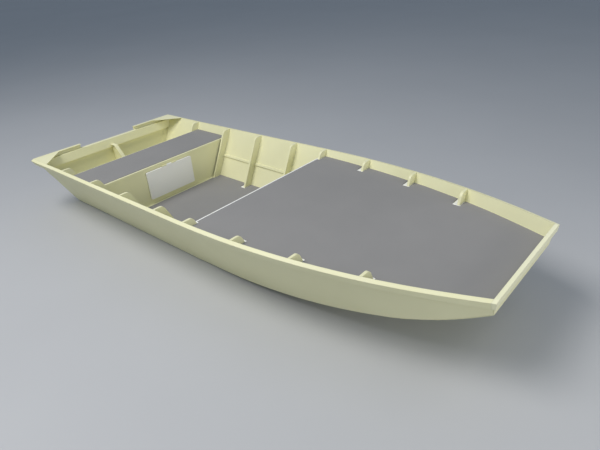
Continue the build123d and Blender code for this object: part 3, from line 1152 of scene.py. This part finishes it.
@dataclass
class HatchFittings(Dressing):
    """The hatch door's rubber seal and the moulded ribs behind its face."""

    body: str = "hatch"
    crease: float = 40.0
    panel_height: float = 0.3
    seal_width: float = 0.009
    seal_gap: float = 0.0004
    seal_play: float = 0.004
    seal_corner: float = 0.010
    seal_edge: float = 0.0012
    rib_width: float = 0.010
    rib_depth: float = 0.009
    rib_play: float = 0.002
    rib_taper: float = 0.7
    rib_edge: float = 0.0016
    rib_places: tuple[float, ...] = (-0.19, -0.095, 0.0, 0.095, 0.19)
    wall: float = 0.003

    def build(self) -> None:
        """Builds the seal and the ribs."""
        self.keep(self.seal(), Finish.RUBBER, "hatch_plastic")
        self.keep(self.ribs(), Finish.HATCH, "hatch_plastic")

    def panel(self) -> tuple[Vector, Vector]:
        """The lowest and highest corners of the door panel, without its hinge knuckle."""
        low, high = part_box("hatch_door")
        return low, Vector((high.x, high.y, low.z + self.panel_height))

    def seal(self) -> Object:
        """Models the seal: a ring that fills the gap between the door and the bench.

        Returns:
            The seal.
        """
        low, high = self.panel()
        back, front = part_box("bench_front")[1].x + self.seal_gap, low.x
        bpy.ops.mesh.primitive_cube_add(
            size=1.0,
            location=((back + front) / 2, 0.0, (low.z + high.z) / 2),
            scale=(front - back, high.y - low.y - self.seal_play, high.z - low.z - self.seal_play),
        )
        seal = placed()
        with Editing(seal, "EDGE") as edit:
            edit.edges(lambda a, b: abs(a.x - b.x) > 0.5 * (front - back))
            bpy.ops.mesh.bevel(offset=self.seal_corner, segments=5, affect="EDGES")
        with Editing(seal) as edit:
            edit.faces(lambda normal: abs(normal.x) > FACING)
            bpy.ops.mesh.inset(thickness=self.seal_width, depth=0.0)
            bpy.ops.mesh.bridge_edge_loops()
        with Editing(seal, "EDGE") as edit:
            edit.edges(lambda a, b: max(a.x, b.x) < back + NEAR)
            bpy.ops.mesh.bevel(offset=self.seal_edge, segments=2, affect="EDGES")
        smooth(seal, self.crease)
        return settle(seal, "hatch_seal")

    def ribs(self) -> Object:
        """Models the upright ribs inside the door's pan.

        Returns:
            The ribs, joined.
        """
        low, high = self.panel()
        root = high.x - self.wall
        middle = root - self.rib_depth / 2
        bpy.ops.mesh.primitive_cube_add(
            size=1.0,
            location=(middle, 0.0, (low.z + high.z) / 2),
            scale=(self.rib_depth, self.rib_width, high.z - low.z - 2 * self.wall - self.rib_play),
        )
        rib = placed()
        with Editing(rib) as edit:
            edit.faces(lambda normal: normal.x < -FACING)
            bpy.ops.transform.resize(value=(1.0, self.rib_taper, 1.0))
        with Editing(rib, "EDGE") as edit:
            edit.edges(lambda a, b: max(a.x, b.x) < middle)
            bpy.ops.mesh.bevel(offset=self.rib_edge, segments=3, affect="EDGES")
        smooth(rib, self.crease)
        places = [Matrix.Translation((0.0, y, 0.0)) for y in self.rib_places]
        return joined(repeated(rib, places), "hatch_ribs")


@dataclass
class DrainFlange(Dressing):
    """The drain tube's flange on the outside of the transom, with its countersunk screws."""

    crease: float = 35.0
    outside_x: float = -2.6
    reach: float = 0.017
    outer: float = 0.024
    outer_sides: int = 48
    bore: float = 0.0132
    thick: float = 0.0018
    edge: float = 0.0005
    screws: int = 3
    screw_ring: float = 0.0188
    screw_turn: float = 90.0
    screw_radius: float = 0.0026
    screw_sides: int = 20
    head_height: float = 0.0012
    head_rim: float = 0.0009
    head_rise: float = 0.0002
    recess_rim: float = 0.0006
    recess_depth: float = 0.0005

    def build(self) -> None:
        """Builds the flange and its screws, and lays them on the raked transom."""
        low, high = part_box("drain_tube")
        across, level = (low.y + high.y) / 2, (low.z + high.z) / 2
        transom = Probe("transom_plate")
        lower, upper = (
            transom.hit((self.outside_x, across, level + rise), AHEAD)
            for rise in (-self.reach, self.reach)
        )
        rake = math.atan2(lower.x - upper.x, upper.z - lower.z)
        turn = Matrix.Rotation(-math.pi / 2 - rake, 4, "Y")
        pieces = [self.ring(), *self.heads()]
        for piece in pieces:
            piece.matrix_world = Matrix.Translation((lower + upper) / 2) @ turn @ piece.matrix_world
        self.keep(joined(pieces, "drain_flange"), Finish.DRAIN, "drain_brass")

    def ring(self) -> Object:
        """Models the flange lying flat, with its bore and its softened rim.

        Returns:
            The flange.
        """
        bpy.ops.mesh.primitive_cylinder_add(
            vertices=self.outer_sides,
            radius=self.outer,
            depth=self.thick,
            location=(0.0, 0.0, self.thick / 2),
        )
        ring = placed()
        with Editing(ring) as edit:
            edit.faces(lambda normal: abs(normal.z) > FACING)
            bpy.ops.mesh.inset(thickness=self.outer - self.bore, depth=0.0)
            bpy.ops.mesh.bridge_edge_loops()
        with Editing(ring, "EDGE") as edit:
            top = self.thick - TINY
            edit.edges(lambda a, b: min(a.z, b.z) > top and abs(a.xy.length - b.xy.length) < TINY)
            bpy.ops.mesh.bevel(offset=self.edge, segments=2, affect="EDGES")
        smooth(ring, self.crease)
        return ring

    def heads(self) -> list[Object]:
        """Models one screw head with its recess and copies it round the flange.

        Returns:
            The screw heads.
        """
        bpy.ops.mesh.primitive_cylinder_add(
            vertices=self.screw_sides,
            radius=self.screw_radius,
            depth=self.head_height,
            location=(self.screw_ring, 0.0, self.thick),
        )
        head = placed()
        with Editing(head) as edit:
            edit.faces(lambda normal: normal.z > FACING)
            bpy.ops.mesh.inset(thickness=self.head_rim, depth=self.head_rise)
            bpy.ops.mesh.inset(thickness=self.recess_rim, depth=-self.recess_depth)
        smooth(head, self.crease)
        turns = [math.radians(self.screw_turn + 360 * k / self.screws) for k in range(self.screws)]
        return repeated(head, [Matrix.Rotation(turn, 4, "Z") for turn in turns])


# Studio


@dataclass(frozen=True)
class SoftBox:
    """One large soft light and where it points."""

    name: str
    place: Place
    aim: Place
    width: float
    height: float
    watts: float
    colour: Colour = (1.0, 1.0, 1.0)

    def hang(self) -> None:
        """Puts the light in the scene, out of the camera's sight."""
        lamp = bpy.data.lights.new(self.name, "AREA")
        lamp.shape = "RECTANGLE"
        lamp.size = self.width
        lamp.size_y = self.height
        lamp.energy = self.watts
        lamp.color = self.colour
        holder = bpy.data.objects.new(self.name, lamp)
        bpy.context.scene.collection.objects.link(holder)
        holder.location = self.place
        toward = Vector(self.aim) - Vector(self.place)
        holder.rotation_euler = toward.to_track_quat("-Z", "Y").to_euler()
        holder.visible_camera = False


@dataclass(frozen=True)
class Studio:
    """The plain floor, the soft lights and the camera."""

    floor_size: float = 400.0
    floor_light: Colour = (0.475, 0.48, 0.49)
    floor_dark: Colour = (0.46, 0.465, 0.475)
    floor_scale: float = 0.4
    floor_rough: float = 0.55
    sky: Colour = (0.205, 0.25, 0.31)
    sky_strength: float = 1.0
    lights: tuple[SoftBox, ...] = (
        SoftBox("key", (-2.1, -4.0, 8.6), (0.4, 0.0, 0.4), 5.0, 4.6, 672.0, (1.0, 0.98, 0.955)),
        SoftBox("bow_fill", (7.0, -1.8, 1.7), (2.4, -0.2, 0.5), 3.0, 1.4, 56.0, (1.0, 0.98, 0.95)),
        SoftBox("ahead", (12.0, 0.6, 3.4), (-1.0, 0.0, 0.4), 6.0, 3.0, 185.0, (1.0, 0.98, 0.95)),
        SoftBox("bow_top", (3.5, 0.7, 3.0), (2.7, 0.3, 0.4), 1.8, 1.4, 13.0, (1.0, 0.98, 0.955)),
        SoftBox("foreground", (1.4, -5.6, 3.2), (1.6, -5.2, 0.0), 6.0, 2.0, 24.0),
    )
    camera_place: Place = (3.1445, -2.8290, 2.4375)
    camera_turn: Place = (60.675, 3.652, 40.529)
    lens: float = 30.626
    sensor: float = 36.0

    def build(self) -> None:
        """Sets up the whole studio."""
        self.floor()
        for light in self.lights:
            light.hang()
        self.surroundings()
        self.camera()
        log.info("studio: floor, %d soft lights and the camera", len(self.lights))

    def floor(self) -> None:
        """Lays the pale floor that the boat stands on."""
        bpy.ops.mesh.primitive_plane_add(size=self.floor_size)
        floor = bpy.context.object
        floor.name = "studio_floor"
        surface = Surface("pale_floor")
        tones = {"Light": self.floor_light, "Dark": self.floor_dark, "Scale": self.floor_scale}
        tone = surface.effect(Effect.TONE, **tones)
        surface.put(Base_Color=tone.outputs["Colour"], Roughness=self.floor_rough)
        floor.data.materials.append(surface.material)

    def surroundings(self) -> None:
        """Gives the studio its even light from all round."""
        world = bpy.data.worlds.new("studio_surroundings")
        world.use_nodes = True
        background = world.node_tree.nodes["Background"]
        background.inputs["Color"].default_value = (*self.sky, 1.0)
        background.inputs["Strength"].default_value = self.sky_strength
        bpy.context.scene.world = world
        bpy.context.scene.view_settings.view_transform = "Standard"

    def camera(self) -> None:
        """Stands the camera where the photograph was taken from."""
        lens = bpy.data.cameras.new("camera")
        lens.lens = self.lens
        lens.sensor_width = self.sensor
        holder = bpy.data.objects.new("camera", lens)
        bpy.context.scene.collection.objects.link(holder)
        holder.location = self.camera_place
        holder.rotation_euler = [math.radians(angle) for angle in self.camera_turn]
        bpy.context.scene.camera = holder


def main() -> None:
    """Dresses the imported boat with its finishes, welds and fittings, and sets up the studio."""
    logging.basicConfig(level=logging.INFO, format="%(name)s: %(message)s")
    shop = PaintShop()
    shop.coat_nodes()
    for kind in (ShellWelds, FrameWelds, InnerWelds, HatchFittings, DrainFlange):
        part = kind(shop)
        part.build()
        log.info("%s: %d pieces", kind.__name__, len(part.made))
    Studio().build()


if __name__ == "__main__":
    main()
